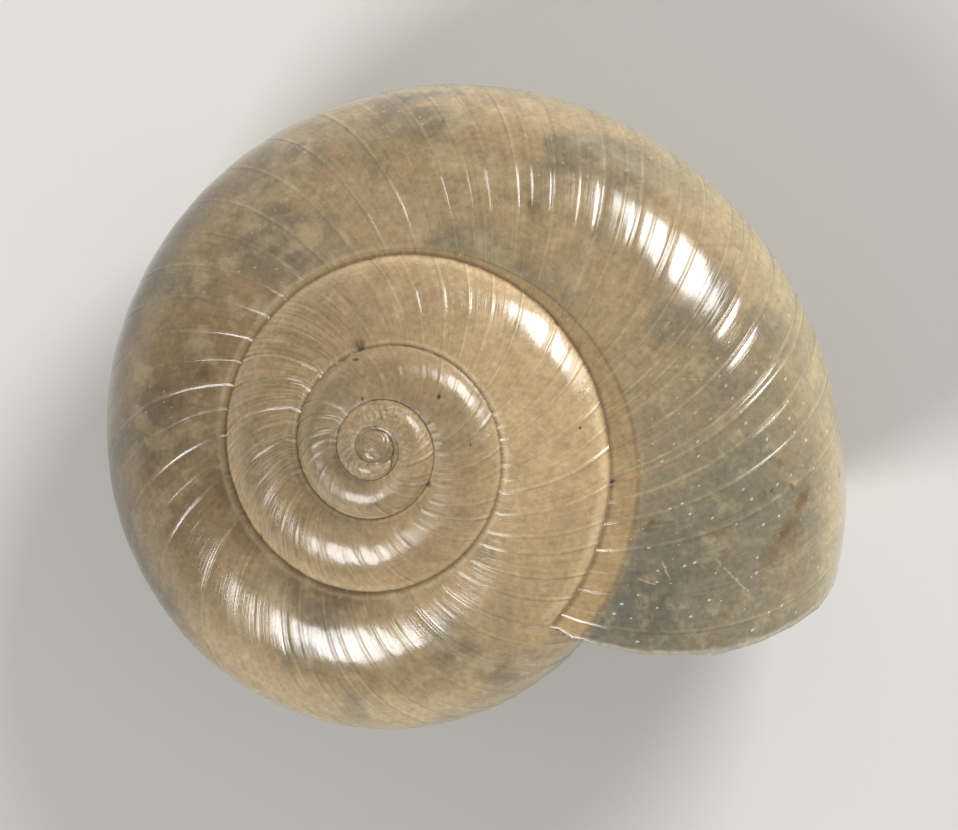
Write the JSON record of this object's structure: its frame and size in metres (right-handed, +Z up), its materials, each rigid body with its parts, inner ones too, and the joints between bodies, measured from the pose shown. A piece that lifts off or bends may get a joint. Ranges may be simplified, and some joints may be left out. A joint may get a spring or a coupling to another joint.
{
  "type": "glass snail shell",
  "caption": "Tiny thin-walled land-snail shell, a low right-handed coil with an open mouth and a narrow hole beneath, resting on its base.",
  "frame": {"origin": "middle of the box on the surface that the shell rests on", "axes": "+Z up as the shell rests, with the spire on top; the mouth opens towards -Y and +X"},
  "size_m": [0.005, 0.0042, 0.0026],
  "materials": {
    "shell": "thin glossy translucent aragonite, horn brown to grey-green, with fine growth lines"
  },
  "bodies": {
    "root": {"shell": "shell"}
  },
  "joints": []
}
